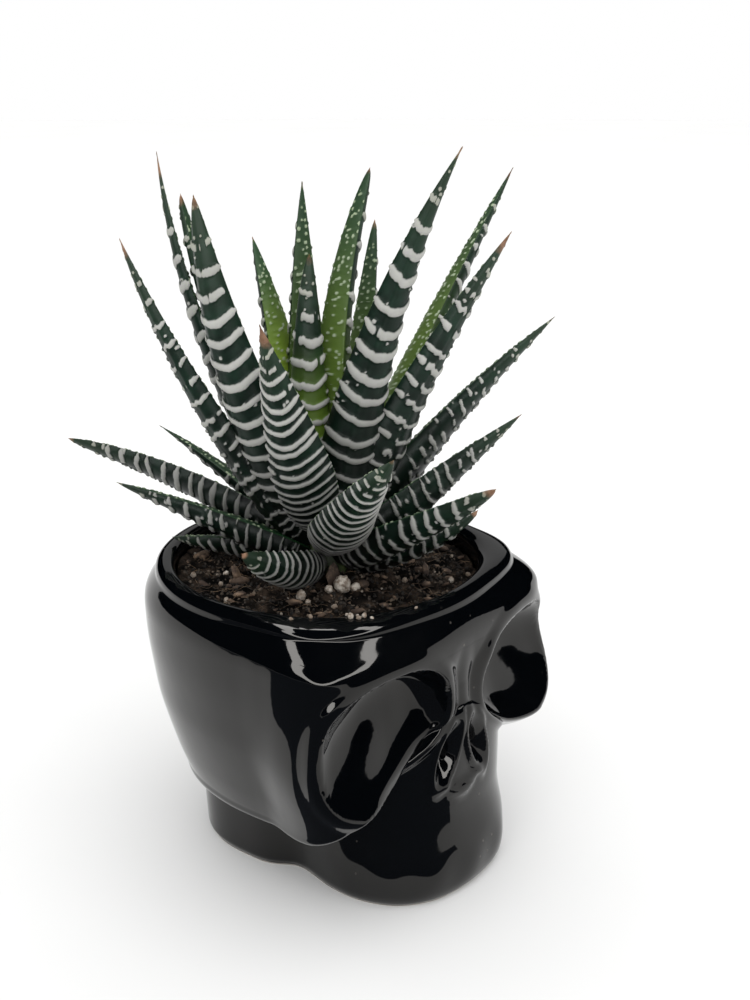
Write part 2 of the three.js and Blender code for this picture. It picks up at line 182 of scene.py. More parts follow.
def add_object(name, data):
    """A new object in the scene's own collection."""
    thing = bpy.data.objects.new(name, data)
    bpy.context.scene.collection.objects.link(thing)
    return thing


def finished(bm, name, material, slot, *nodes):
    """Turns a bmesh into a smooth piece that rides on the pot and stands for CAD nodes."""
    mesh = bpy.data.meshes.new(name)
    bm.to_mesh(mesh)
    bm.free()
    mesh.polygons.foreach_set("use_smooth", [True] * len(mesh.polygons))
    mesh.materials.append(material)
    piece = add_object(name, mesh)
    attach(piece, "root")
    if nodes:
        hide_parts(*nodes)


def turned(rows, columns, warp, place):
    """A spun body whose rows are moved to place(row, turn); the first and last row lie on the axis."""
    bm = bmesh.new()
    profile = [bm.verts.new((0.0 if row in (0, rows - 1) else 1.0, 0.0, row)) for row in range(rows)]
    edges = [bm.edges.new(pair) for pair in zip(profile, profile[1:])]
    bmesh.ops.spin(bm, geom=profile + edges, cent=(0, 0, 0), axis=(0, 0, 1), dvec=(0, 0, 0),
                   angle=2 * math.pi, steps=columns, use_merge=True)
    bmesh.ops.remove_doubles(bm, verts=bm.verts, dist=1e-4)
    for vert in bm.verts:
        row = round(vert.co.z)
        turn = warp(math.atan2(vert.co.x, -vert.co.y) / math.pi)
        radius, height = place(row, turn)
        vert.co = Vector((radius * math.sin(turn), -radius * math.cos(turn), height)) * MM
    bmesh.ops.recalc_face_normals(bm, faces=bm.faces)
    return bm


def even_turn(share):
    """Columns stand evenly all round."""
    return share * math.pi


def face_turn(share):
    """Columns stand closer together on the face than on the back of the head."""
    return math.pi * (0.46 * share + 0.54 * share ** 5)


# Materials

def rgba(colour):
    """A colour as four numbers; a node's output stays as it is."""
    return colour if isinstance(colour, bpy.types.NodeSocket) else (*colour[:3], 1)


class Paint:
    """A new material, with short calls that add its nodes; a value is a number or a node's output."""

    def __init__(self, name):
        self.material = bpy.data.materials.new(name)
        self.material.use_nodes = True
        self.tree = self.material.node_tree

    def feed(self, socket, value):
        """Joins an input to a node's output, or sets it."""
        if isinstance(value, bpy.types.NodeSocket):
            self.tree.links.new(value, socket)
        else:
            socket.default_value = value

    def node(self, kind, **values):
        """A node whose settings and inputs are given by name, with _ for a space."""
        node = self.tree.nodes.new(kind)
        for key, value in values.items():
            if hasattr(node, key):
                setattr(node, key, value)
            else:
                self.feed(node.inputs[key.replace("_", " ")], value)
        return node

    def surface(self, **values):
        """Sets or joins the shader's own inputs by name, and gives back the finished material."""
        shader = self.tree.nodes["Principled BSDF"]
        for key, value in values.items():
            self.feed(shader.inputs[key.replace("_", " ")], value)
        return self.material

    def where(self):
        """Object coordinates: metres in the part's own frame."""
        return self.node("ShaderNodeTexCoord").outputs["Object"]

    def height(self, where):
        """Height above the table, in metres."""
        return self.node("ShaderNodeSeparateXYZ", Vector=where).outputs["Z"]

    def attribute(self, name):
        """A value that the mesh carries at every point."""
        return self.node("ShaderNodeAttribute", attribute_name=name).outputs["Fac"]

    def noise(self, where, scale, detail=3.0, roughness=0.5):
        """Cloudy noise between 0 and 1, with so many lumps to a metre."""
        node = self.node("ShaderNodeTexNoise", Vector=where, Scale=scale, Detail=detail, Roughness=roughness)
        return node.outputs["Fac"]

    def spread(self, value, low, high, to_low=0.0, to_high=1.0):
        """A smooth step from to_low to to_high while the value runs from low to high."""
        node = self.node("ShaderNodeMapRange", interpolation_type="SMOOTHSTEP", Value=value,
                         From_Min=low, From_Max=high, To_Min=to_low, To_Max=to_high)
        return node.outputs["Result"]

    def sums(self, operation, a, b, clamp=False):
        """Two values joined by a math operation."""
        node = self.node("ShaderNodeMath", operation=operation, use_clamp=clamp)
        self.feed(node.inputs[0], a)
        self.feed(node.inputs[1], b)
        return node.outputs[0]

    def times(self, a, b, clamp=False):
        return self.sums("MULTIPLY", a, b, clamp)

    def mix(self, factor, a, b, blend="MIX"):
        """A mix of two colours."""
        node = self.node("ShaderNodeMix", data_type="RGBA", blend_type=blend)
        for index, value in ((0, factor), (6, rgba(a)), (7, rgba(b))):
            self.feed(node.inputs[index], value)
        return node.outputs[2]

    def darken(self, colour, amount):
        """A colour times an amount, where 1 leaves it as it is."""
        return self.mix(1.0, colour, amount, "MULTIPLY")

    def shades(self, factor, colour, dark, light):
        """A mix of two shades of one colour."""
        return self.mix(factor, [part * dark for part in colour], [part * light for part in colour])

    def bump(self, height, strength, distance):
        """Gives the surface a fine relief; the distance is in metres."""
        node = self.node("ShaderNodeBump", Strength=strength, Distance=distance, Height=height)
        self.surface(Normal=node.outputs["Normal"])


# Skull planter

# The jaw stands this many degrees turned and this far to the side under the cranium.
JAW_TURN = 5.0
JAW_SHIFT = 5.0
WALL = 4.0
FLOOR = 5.0

# Radius of the cranium and of the jaw, and height of the edge between them, by degrees from the face
CRANIUM_PLAN = [(0, 43.6), (14, 44.7), (28, 48), (38, 51.2), (45, 53), (50, 52.8), (55, 51.3), (60, 49.4),
                (66, 47.2), (74, 45.2), (86, 44), (100, 43.7), (128, 44.8), (155, 45.6), (180, 45.6)]
JAW_PLAN = [(0, 43), (12, 43), (20, 42.3), (28, 40.8), (36, 38.2), (43, 35.6), (51, 32.4), (62, 28.6),
            (71, 26.8), (80, 26.6), (95, 29.2), (112, 31.2), (134, 34.6), (156, 35.8), (180, 35.8)]
EDGE_HEIGHT = [(0, 51), (7, 49), (14, 45), (20, 41), (27, 36.6), (35, 32.4), (44, 27.6), (54, 22.6), (64, 20),
               (74, 19), (130, 19), (180, 18)]
# Width of the cranium's sides as a share of its full plan, by height
FULLNESS = [(18, 0.76), (26, 0.83), (32, 0.875), (44, 0.945), (52, 0.972), (60, 0.993), (67, 1), (78, 1)]
# Rows of faces on each stretch of the skin, and how the rows of the jaw crowd towards the edge
JAW_ROWS = 40
UNDER_ROWS = 16
SIDE_ROWS = 52
CROWN_ROWS = 30
LIP_ROWS = 24
INSIDE_ROWS = 14
JAW_CROWDING = 1.35

# Heights at which the shelf under the cranium ends above its edge, and the crown and the lip begin
UNDER_RISE = 6.0
CROWN_FROM = 67.0
LIP_FROM = 75.2

# Eye sockets: degrees from the middle of the face, millimetres per degree there, height, half sizes and depth
SOCKET_TURN = 28.5
SOCKET_ARC = 0.85
SOCKET_HEIGHT = 50.8
SOCKET_HALF_WIDTH = 17.6
SOCKET_HALF_HEIGHT = 16
SOCKET_DEPTH = 8.2
# Power of the sockets' outline: 2 would be an ellipse, and more is squarer.
SOCKET_SQUARENESS = 2.3
# Nose: millimetres per degree there and height of its middle
NOSE_ARC = 0.76
NOSE_HEIGHT = 39.5

# The hollow narrows by this much below the opening, and the crest of the lip leans inwards.
NECK = 3.5
LIP_LEAN = 0.7
# Power of the lip's section: 1 would be an ellipse, and less is squarer.
LIP_ROUNDNESS = 2 / 2.6


def cranium_plan(turn):
    """Outline of the cranium seen from above: flat sides, square temples and a round back."""
    return along(CRANIUM_PLAN, abs(math.degrees(turn)))


def lip_radius(turn, settings):
    """The lip follows the corners of the cranium a little."""
    return mix(settings.lip_radius, settings.lip_corner, ramp(cranium_plan(turn), 44, 53))


def cranium_radius(turn, height, settings):
    """Radius of the cranium with its cheeks and brow, closing in to the round lip above."""
    side = abs(math.degrees(turn))
    front = ramp(math.cos(turn), 0.35, 0.75) if height < 66 else 0.0
    plan = cranium_plan(turn) * mix(along(FULLNESS, height), 1, front)
    cheek = 3.6 * hill(math.hypot((side - 48) / 24, (height - 43) / 19))
    brow = -1.8 * hill(math.hypot(side / 13, (height - 55) / 14))
    blend = ramp(height, 66, settings.height) ** 1.9
    return mix(plan + cheek + brow, lip_radius(turn, settings), blend)


def socket_relief(turn, height):
    """The eye sockets: wide rounded hollows with a raised rim, cut off towards the nose below."""
    across = (abs(math.degrees(turn)) - SOCKET_TURN) * SOCKET_ARC
    up = height - SOCKET_HEIGHT
    power = SOCKET_SQUARENESS
    oval = (abs(across / SOCKET_HALF_WIDTH) ** power + abs(up / SOCKET_HALF_HEIGHT) ** power) ** (1 / power)
    slant = max(0.0, (-0.526 * across - 0.85 * up) / 12.8)
    reach = (oval ** 6 + slant ** 6) ** (1 / 6)
    bowl = -(SOCKET_DEPTH + 0.05 * across + 0.3 * up) * (1 - reach ** 4.5) if reach < 1 else 0.0
    rim = mix(1.2, 0.45, ramp(height, 60, 68)) * hill(abs(reach - 1.08) / 0.2)
    return bowl + rim


def nose_relief(turn, height):
    """The nose: two leaning pear-shaped holes with a ridge between and a curved lip below."""
    across = abs(math.degrees(turn)) * NOSE_ARC
    up = height - NOSE_HEIGHT
    reach = math.hypot((across - 4.9 + up * 0.3) / 2.7, up / 7.2)
    hole = -3.4 * hill(reach)
    ring = 1.0 * hill(abs(reach - 1.25) / 0.45)
    lip = 1.3 * hill(math.hypot(across / 9.5, (up + 11 - 0.07 * across * across) / 3))
    bridge = hill(math.hypot(across / 4.5, (up - 15) / 14))
    return hole + ring + lip + bridge


def jaw_plan(turn):
    """Outline of the jaw seen from above; it stands slightly askew under the cranium."""
    askew = turn - math.radians(JAW_TURN)
    return along(JAW_PLAN, math.degrees(math.acos(math.cos(askew)))) + JAW_SHIFT * math.sin(askew)


def jaw_radius(turn, height):
    """The jaw flares out a little where it meets the table."""
    flare = 2.2 * hill(abs(height - 7) / 16) * ramp(math.cos(turn), 0.4, 0.9)
    front = ramp(math.cos(turn), 0.5, 0.9)
    teeth = 0.25 * math.sin(turn * 22) * hill(abs(height - 7) / 8) * front
    foot = -1.1 * hill(height / 2.2)
    rise = 1 + 0.0012 * height * ramp(-math.cos(turn), -0.3, 0.5)
    return jaw_plan(turn) * rise + flare + teeth + foot


def face_point(turn, height, radius, settings):
    """A point of the outer skin with the sockets, the nose and the casting's slight waviness."""
    x, y = radius * math.sin(turn), radius * math.cos(turn)
    wave = 0.06 * grain(x, y, height, 19) + 0.01 * grain(x + 40, y, height, 7)
    wave *= ramp(height, 2, 9) * ramp(settings.height - height, 1, 6)
    return radius + socket_relief(turn, height) + nose_relief(turn, height) + wave, height


def lip_point(angle, turn, settings):
    """A point of the rolled lip; the angle runs from its outer foot over the crest to its inner foot."""
    outer = face_point(turn, LIP_FROM, cranium_radius(turn, LIP_FROM, settings), settings)[0]
    middle = (outer + settings.opening_radius) / 2 - LIP_LEAN
    half = outer - middle if angle < math.pi / 2 else middle - settings.opening_radius
    across = math.copysign(abs(math.cos(angle)) ** LIP_ROUNDNESS, math.cos(angle))
    rise = abs(math.sin(angle)) ** LIP_ROUNDNESS
    return middle + half * across, LIP_FROM + (settings.height - LIP_FROM) * rise


def cavity_radius(turn, height, mouth, settings):
    """Radius of the hollow, which follows the jaw below and widens to the mouth above."""
    neck = settings.opening_radius - NECK
    lower = min(jaw_plan(turn) - WALL, neck)
    return mix(lower, mix(neck, mouth, ramp(height, 56, 70)), ramp(height, 27, 40))


def planter_station(row, turn, settings):
    """One station of the planter's skin, from the centre of the foot over the lip to the inner floor."""
    if row == 0:
        return 0.0, 0.0
    edge = along(EDGE_HEIGHT, abs(math.degrees(turn)))
    shelf = edge + UNDER_RISE
    step = row - 1
    if step <= JAW_ROWS:
        height = edge * (1 - (1 - step / JAW_ROWS) ** JAW_CROWDING)
        return face_point(turn, height, jaw_radius(turn, height), settings)
    step -= JAW_ROWS
    if step <= UNDER_ROWS:
        angle = step / UNDER_ROWS * math.pi / 2
        height = edge + UNDER_RISE * (1 - math.cos(angle))
        outer = cranium_radius(turn, shelf, settings)
        return face_point(turn, height, mix(jaw_radius(turn, edge), outer, math.sin(angle)), settings)
    step -= UNDER_ROWS
    for rows, low, high in ((SIDE_ROWS, shelf, CROWN_FROM), (CROWN_ROWS, CROWN_FROM, LIP_FROM)):
        if step <= rows:
            height = mix(low, high, step / rows)
            return face_point(turn, height, cranium_radius(turn, height, settings), settings)
        step -= rows
    if step <= LIP_ROWS:
        return lip_point(step / LIP_ROWS * math.pi, turn, settings)
    step -= LIP_ROWS
    if step > INSIDE_ROWS:
        return 0.0, FLOOR
    height = mix(LIP_FROM, FLOOR, step / INSIDE_ROWS)
    return cavity_radius(turn, height, settings.opening_radius, settings), height


# Colours over the glaze: its haze, its dust and the unglazed clay of the foot
HAZE = (0.5, 0.47, 0.42)
DUST = (0.5, 0.46, 0.4)
BARE_CLAY = (0.42, 0.39, 0.35)


def glaze_material(settings):
    """Deep black glaze with a faint waviness, dust and an unglazed foot."""
    paint = Paint("black_glaze")
    where = paint.where()
    specks = paint.node("ShaderNodeTexVoronoi", Vector=where, Scale=300.0, Randomness=1.0)
    near = paint.spread(specks.outputs["Distance"], 0.05, 0.13, 1, 0)
    patch = paint.spread(paint.noise(where, 60.0, 2.0), 0.56, 0.66)
    dust = paint.times(near, patch, True)
    haze = paint.spread(paint.noise(where, 26.0, 4.0, 0.6), 0.5, 0.85)
    foot = paint.spread(paint.height(where), 0.0002, 0.0005, 1, 0)
    base = paint.mix(paint.times(haze, 0.004), settings.glaze, HAZE)
    base = paint.mix(paint.times(dust, 0.16), base, DUST)
    base = paint.mix(foot, base, BARE_CLAY)
    rough = paint.spread(haze, 0, 1, settings.gloss_roughness, settings.gloss_roughness + 0.05)
    rough = paint.sums("MAXIMUM", rough, paint.times(dust, 0.5))
    rough = paint.sums("MAXIMUM", rough, paint.times(foot, 0.8))
    paint.bump(paint.noise(where, 240.0, 2.0), 0.05, 0.0004)
    return paint.surface(Base_Color=base, Roughness=rough, IOR=1.5, Specular_IOR_Level=0.42,
                         Specular_Tint=(1.0, 0.97, 0.93, 1))


class HAWORTHIA_OT_skull_planter(Operator):
    """Build the black glazed planter in the shape of a plain skull"""
    bl_idname = "haworthia.skull_planter"
    bl_label = "Skull Planter"

    def execute(self, context):
        settings = context.scene.planter
        rows = 2 + JAW_ROWS + UNDER_ROWS + SIDE_ROWS + CROWN_ROWS + LIP_ROWS + INSIDE_ROWS + 1
        bm = turned(rows, settings.columns, face_turn, lambda row, turn: planter_station(row, turn, settings))
        finished(bm, "glazed_skull", glaze_material(settings), "black_glaze", "skull_planter")
        return {"FINISHED"}


# Potting soil

SOIL_SIDE_ROWS = 8
SOIL_RINGS = 76
SOIL_COLUMNS = 200
# The soil keeps this far from the floor and from the wall at the mouth, and a little farther below.
SOIL_GAP = 0.3
SOIL_SIDE_GAP = 0.4
GRIT_COLOUR = (0.15, 0.11, 0.075)
# Random turns are drawn up to just under a full turn, in radians.
ANY_TURN = 6.28


def soil_height(x, y, level):
    """The soil's lumpy top, a little higher at the plant and on the left."""
    tilt = -0.03 * (0.65 * x - 0.76 * y)
    lumps = 0.35 * math.sin(x * 0.62 + 1.3) * math.cos(y * 0.51) + 0.25 * math.sin(x * 1.1 - y * 0.9 + 0.4)
    heap = 1.6 * hill(math.hypot(x, y) / 24)
    return level + tilt + lumps + heap


def soil_fine(x, y, level):
    """The soil's top with three sizes of crumbs."""
    crumb = 0.8 * grain(x, y, 3, 3.2) + 0.6 * grain(x, y, 9, 1.5) + 0.4 * grain(x, y, 21, 0.8)
    return soil_height(x, y, level) + crumb


def soil_material(settings):
    """Damp peat with paler dry fibre and grit."""
    paint = Paint("potting_soil")
    where = paint.where()
    fine = paint.noise(where, 1300.0, 3.0, 0.6)
    dry = paint.spread(paint.noise(where, 260.0, 5.0, 0.65), 0.42, 0.68)
    base = paint.shades(dry, settings.peat, 0.25, 2.4)
    base = paint.mix(paint.times(paint.spread(fine, 0.6, 0.74), 0.55), base, GRIT_COLOUR)
    clump = paint.spread(paint.noise(where, 130.0, 2.0), 0.42, 0.56, 0.22, 1.0)
    paint.bump(fine, 0.8, 0.0006)
    return paint.surface(Base_Color=paint.darken(base, clump), Roughness=0.95, Specular_IOR_Level=0.1)


def loose_material(name, dark, pale, scale, roughness=0.9):
    """Dry material mottled between two colours, for bark, perlite and crumbs."""
    paint = Paint(name)
    where = paint.where()
    mottle = paint.spread(paint.noise(where, scale, 4.0, 0.6), 0.35, 0.68)
    clump = paint.spread(paint.noise(where, 170.0, 2.0), 0.4, 0.6, 0.15, 1.0)
    paint.bump(paint.noise(where, scale * 2.5, 3.0), 0.7, 0.0004)
    return paint.surface(Base_Color=paint.mix(paint.times(mottle, clump), dark, pale), Roughness=roughness)


def rough_stone(bm, centre, size, turn, draw, subdivisions, jag):
    """A small irregular lump at a place, its size given in millimetres on three axes."""
    made = bmesh.ops.create_icosphere(bm, subdivisions=subdivisions, radius=1.0)["verts"]
    for vert in made:
        vert.co *= 1 + jag * (draw.random() - 0.5) * 2
    shape = Matrix.LocRotScale(Vector(centre) * MM, turn, Vector(size) * (MM / 2))
    bmesh.ops.transform(bm, matrix=shape, verts=made)


def random_turn(draw):
    """A turn of a lump that fell anyhow."""
    return Euler((draw.uniform(0, ANY_TURN), draw.uniform(0, ANY_TURN), draw.uniform(0, ANY_TURN)))


def lying(draw, tilt):
    """A turn of a flat chip that lies tilted by up to this many radians."""
    return Euler((draw.uniform(-tilt, tilt), draw.uniform(-tilt, tilt), draw.uniform(0, ANY_TURN)))


class HAWORTHIA_OT_potting_soil(Operator):
    """Build the peat that fills the planter, with its crumbly top"""
    bl_idname = "haworthia.potting_soil"
    bl_label = "Potting Soil"

    def execute(self, context):
        settings, planter = context.scene.soil, context.scene.planter
        wall = planter.opening_radius - SOIL_GAP
        lower = FLOOR + SOIL_GAP
        first_ring = SOIL_SIDE_ROWS + 1

        def place(row, turn):
            if row == 0:
                return 0.0, lower
            if row <= SOIL_SIDE_ROWS:
                height = mix(lower, settings.level - 3, (row - 1) / (SOIL_SIDE_ROWS - 1))
                return cavity_radius(turn, height, wall, planter) - SOIL_SIDE_GAP, height
            radius = wall * (SOIL_RINGS + first_ring - row) / SOIL_RINGS
            x, y = radius * math.sin(turn), -radius * math.cos(turn)
            return radius, soil_fine(x, y, settings.level) + 0.5 * ramp(radius, wall - 3, wall)

        bm = turned(SOIL_RINGS + first_ring + 1, SOIL_COLUMNS, even_turn, place)
        finished(bm, "peat_mix", soil_material(settings), "soil", "potting_soil")
        return {"FINISHED"}


# Bark chips and upright flakes: place, length, width and thickness
BARK_CHIPS = [(-20.7, 9.3, 5.4, 3.0, 2.0), (-16.3, 27.8, 4.6, 2.6, 1.8), (-21.5, -9, 5.0, 2.2, 1.6),
              (-2.8, -13.5, 6.5, 3.0, 2.2), (9, -24, 3.4, 2.2, 1.2), (20, -22, 3.0, 2.0, 1.2),
              (-28, 14, 3.0, 1.8, 1.2), (24, 12, 4.2, 2.4, 1.4), (12, 28, 4.0, 2.2, 1.4),
              (30, -13, 3.4, 2.2, 1.4), (-6, 27, 3.6, 2.2, 1.4), (-30, -6, 2.8, 1.6, 1.0),
              (2, -31, 3.2, 1.8, 1.1), (14.2, -18, 3.0, 2.2, 1.4), (-14, -22, 4.0, 2.0, 1.4),
              (-27, 3, 3.6, 2.0, 1.2), (17.7, -12.3, 2.4, 1.6, 1.0)]
FLAKES = [(-7.0, -8.5, 6.5, 5.5, 1.4), (-20.5, 10.5, 5.5, 3.0, 1.6), (14, -20, 4.0, 3.0, 1.2)]
# Perlite, and crumbs that fell on the lip: place and size
PERLITE = [(-8.4, -12.6, 4.8), (-5.6, -14.2, 2.6), (-11.8, -11.4, 2.4), (-18.3, -8.6, 2.8), (-19.5, -12, 1.6),
           (15, -27, 1.8), (-26, 20, 1.6), (26, 18, 2.2), (4, 31, 2.0), (-31, 3, 1.5), (22, -27, 1.4),
           (-20.9, 14.0, 1.5), (-24.7, 11.7, 1.3), (-16, -17, 1.5), (7, -19, 1.6)]
LIP_GRAINS = [(-25.2, -29.2, 1.0), (-25.6, -30.6, 1.6), (-24.0, -31.1, 0.8), (-24.9, -32.3, 1.2),
              (-23.4, -32.5, 1.6), (-22.9, -34.3, 0.9), (-31.2, -24.0, 1.2), (-34.7, -21.5, 1.0),
              (-12.6, -38.2, 0.9)]
BARK_SCRAPS = 110
LOOSE_GRIT = 40
# Loose pieces keep this far inside the opening, and fibres a little farther.
LITTER_MARGIN = 2
FIBRE_MARGIN = 3


class HAWORTHIA_OT_soil_litter(Operator):
    """Scatter bark chips, perlite, crumbs and fibres on the soil"""
    bl_idname = "haworthia.soil_litter"
    bl_label = "Soil Litter"

    def execute(self, context):
        settings, planter = context.scene.soil, context.scene.planter
        draw = random.Random(settings.seed)

        def on_soil(x, y, lift):
            return (x, y, soil_fine(x, y, settings.level) + lift)

        def anywhere(nearest, margin=LITTER_MARGIN):
            """A random place on the soil, outside the middle's given share of the area."""
            angle = draw.uniform(0, ANY_TURN)
            radius = (planter.opening_radius - margin) * math.sqrt(draw.uniform(nearest, 1))
            return radius * math.cos(angle), radius * math.sin(angle)

        bark = bmesh.new()
        for x, y, length, width, thick in BARK_CHIPS:
            rough_stone(bark, on_soil(x, y, 0.5), (length, width, thick), lying(draw, 0.5), draw, 2, 0.16)
        for x, y, length, width, thick in FLAKES:
            turn = Euler((draw.uniform(-0.3, 0.3), draw.uniform(-1.5, -1.2), draw.uniform(1.8, 2.6)))
            rough_stone(bark, on_soil(x, y, length * 0.3), (length, width, thick), turn, draw, 2, 0.14)
        for _ in range(BARK_SCRAPS):
            x, y = anywhere(0.05)
            size = draw.uniform(0.7, 2.0)
            rough_stone(bark, on_soil(x, y, 0.2), (size * 1.6, size * 0.8, size * 0.5), lying(draw, 0.6),
                        draw, 1, 0.2)
        finished(bark, "bark_chips",
                 loose_material("bark", (0.045, 0.026, 0.017), (0.27, 0.18, 0.115), 420), "soil")

        grit = bmesh.new()
        for x, y, size in PERLITE:
            rough_stone(grit, on_soil(x, y, size * 0.3), (size, size * 0.85, size * 0.8), random_turn(draw),
                        draw, 3, 0.14)
        for x, y, size in LIP_GRAINS:
            rough_stone(grit, (x, y, planter.height + size * 0.25), (size, size * 0.8, size * 0.7),
                        random_turn(draw), draw, 2, 0.14)
        for _ in range(LOOSE_GRIT):
            x, y = anywhere(0.1)
            size = draw.uniform(0.4, 0.9)
            rough_stone(grit, on_soil(x, y, 0.2), (size, size, size), random_turn(draw), draw, 1, 0.15)
        finished(grit, "perlite_grains",
                 loose_material("perlite", (0.20, 0.15, 0.11), (0.62, 0.57, 0.50), 900), "soil")

        peat = bmesh.new()
        for _ in range(settings.crumbs):
            x, y = anywhere(0.02)
            size = draw.uniform(0.4, 1.5) * draw.uniform(0.5, 1)
            rough_stone(peat, on_soil(x, y, 0.1), (size, size * 0.8, size * 0.7), random_turn(draw),
                        draw, 1, 0.25)
        finished(peat, "peat_crumbs",
                 loose_material("peat_crumb", (0.004, 0.003, 0.0025), (0.14, 0.105, 0.075), 600), "soil")

        strands = bmesh.new()
        for _ in range(settings.fibres):
            x, y = anywhere(0.05, FIBRE_MARGIN)
            fibre(strands, on_soil(x, y, 0.35), draw)
        finished(strands, "peat_fibres",
                 loose_material("fibre", (0.04, 0.024, 0.014), (0.26, 0.17, 0.10), 700), "soil")
        return {"FINISHED"}


def fibre(bm, centre, draw):
    """One fine bent fibre lying on the soil."""
    length, thick = draw.uniform(2.5, 7), draw.uniform(0.10, 0.2)
    before = len(bm.verts)
    made = bmesh.ops.create_cone(bm, cap_ends=True, segments=4, radius1=thick / 2, radius2=thick / 3,
                                 depth=length)["verts"]
    sides = {edge for vert in made for edge in vert.link_edges
             if abs(edge.verts[0].co.z - edge.verts[1].co.z) > length / 2}
    bmesh.ops.subdivide_edges(bm, edges=list(sides), cuts=5)
    bm.verts.ensure_lookup_table()
    made = bm.verts[before:]
    bow, twist = draw.uniform(-1.1, 1.1), draw.uniform(-0.6, 0.6)
    for vert in made:
        share = vert.co.z / length * 2
        vert.co.x += bow * (1 - share * share) * 0.5
        vert.co.y += twist * math.sin(share * 3)
    flat = math.pi / 2
    turn = Euler((flat + draw.uniform(-0.25, 0.25), draw.uniform(-0.3, 0.3), draw.uniform(0, ANY_TURN)))
    shape = Matrix.LocRotScale(Vector(centre) * MM, turn, Vector((MM, MM, MM)))
    bmesh.ops.transform(bm, matrix=shape, verts=made)


# Stem

class HAWORTHIA_OT_plant_stem(Operator):
    """Finish the short stem between the leaf bases"""
    bl_idname = "haworthia.plant_stem"
    bl_label = "Plant Stem"

    def execute(self, context):
        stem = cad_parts["stem"]
        stem.data.materials.clear()
        skin = loose_material("stem_skin", (0.03, 0.05, 0.012), (0.12, 0.17, 0.05), 300, 0.6)
        stem.data.materials.append(skin)
        return {"FINISHED"}


# Leaves

# Radius of the stem, the height above which it tapers, and how much for each millimetre
STEM_R = 6.0
STEM_SHOULDER = 76.0
STEM_TAPER = 0.2
# Depth to which the foot of a leaf clasps the stem
LEAF_CLASP = 0.8
# Depth of the outer face and height of the inner face, as shares of the leaf's width
LEAF_DEPTH = 0.44
LEAF_CROWN = 0.1
# Width at the foot as a share of the full width, and share of the length where the full width is reached
LEAF_FOOT = 0.6
LEAF_BELLY = 0.16
# Share of the columns that lies on the outer face
OUTER_SHARE = 0.72
# The bands lie on this stretch of the length, crowd towards the foot by this power and end near the tip.
BANDS_FROM = 0.04
BANDS_SPAN = 0.87
BANDS_POWER = 1.3
BANDS_END = 0.985
# A band is never farther than this from its own middle, and its half width is never more, in millimetres.
BAND_REACH = 4.5
BAND_HALF = 1.3
# Beads of a band per millimetre of the leaf's width, and bow of a band as a share of that width
BEAD_SHARE = 0.21
BOW_SHARE = 0.115
# Dots of the outer and of the inner face: distance and size in millimetres
OUTER_DOTS = (1.7, 0.5)
INNER_DOTS = (1.6, 0.48)
# Values that every point of a leaf's mesh carries for the material
MARKINGS = ("mark", "share", "inner", "dry", "glow")

# Name, direction round the stem, rise, bend, swing, length, width, taper, roll and height of the foot
LEAVES = [
    ("heart_front", 152.6, 86.1, 7, 0, 62.5, 12.5, 0.55, 75, 87.7),
    ("heart_back", 70.9, 78.5, 12.8, 0, 77.8, 16.5, 0.82, 0, 88),
    ("heart_right", 352.9, 99.8, -35, -4, 82.4, 13.5, 0.52, 0, 88),
    ("heart_left", 93.7, 80.3, -13.5, -5, 68.1, 16.5, 0.72, 0, 87),
    ("back_slender", 5.2, 74.1, 4.4, 2, 72.9, 10.5, 0.55, 0, 85),
    ("left_tall", 158.8, 58.9, 23.2, 2, 82.6, 18, 0.65, 35, 87),
    ("left_hidden", 121.2, 61.7, 14.3, -1.5, 82.6, 13.5, 0.5, 0, 86),
    ("left_outer", 122, 54.9, 27.8, 0, 95.4, 11, 0.75, 25, 84),
    ("right_tall", 273.1, 81.2, -24.3, 1, 95.1, 17.3, 0.9, -35, 86.5),
    ("right_long", 351.9, 58.3, -7.6, -3, 99, 18, 0.79, -25, 86),
    ("right_broad", 304.8, 68.4, -14.1, 5, 81, 17, 0.74, -35, 84.5),
    ("left_hooked", 141.4, 51.8, 17.4, 1, 83.4, 13.8, 0.75, 25, 82.3),
    ("front_broad", 189.9, 69.2, -6.3, 5, 57.4, 25, 0.92, 0, 86),
    ("right_leaning", 327.9, 51, -15.9, -2, 74, 17.7, 0.77, -35, 82.5),
    ("back_low", 98.6, 31.2, -11.8, 3, 51.8, 11.6, 0.87, 15, 80.6),
    ("front_short", 233.6, 39.4, -7.1, 9, 59.3, 18, 0.68, 0, 82),
    ("right_low", 301.7, 42.6, -4.8, 0, 54.3, 18.5, 0.8, -30, 79.5),
    ("left_long", 107.9, 26.3, -19.4, 7, 70.2, 14.2, 0.55, 40, 80),
    ("front_right", 275.6, 27.9, 3.9, -4, 49.3, 13.5, 0.52, -30, 79),
    ("left_low", 130.4, 25, -8.9, 0, 48.8, 15, 0.69, 25, 78.6),
    ("soil_front", 196.2, 16, 16.2, -2, 37.4, 12.5, 0.55, 60, 76),
    ("soil_left", 121, 4, -6, 3, 34.5, 13.5, 0.58, 25, 79),
    ("soil_right", 294.4, 8.6, 32.5, -2, 36.2, 10.5, 0.52, -30, 77.4),
    ("back_mid", 41, 48, -4, 0, 52, 11, 0.75, 0, 82),
    ("back_right", 13, 30, -4, 0, 48, 11, 0.75, 0, 79),
    ("back_left", 69, 26, -4, 0, 50, 11, 0.75, 0, 78.5),
    ("back_soil", 41, 14, 2, 0, 46, 11, 0.75, 0, 76.5),
]
# Leaves with a belly: their own foot and belly
BELLIES = {"front_broad": (0.35, 0.4), "front_short": (0.4, 0.32), "soil_front": (0.45, 0.4)}
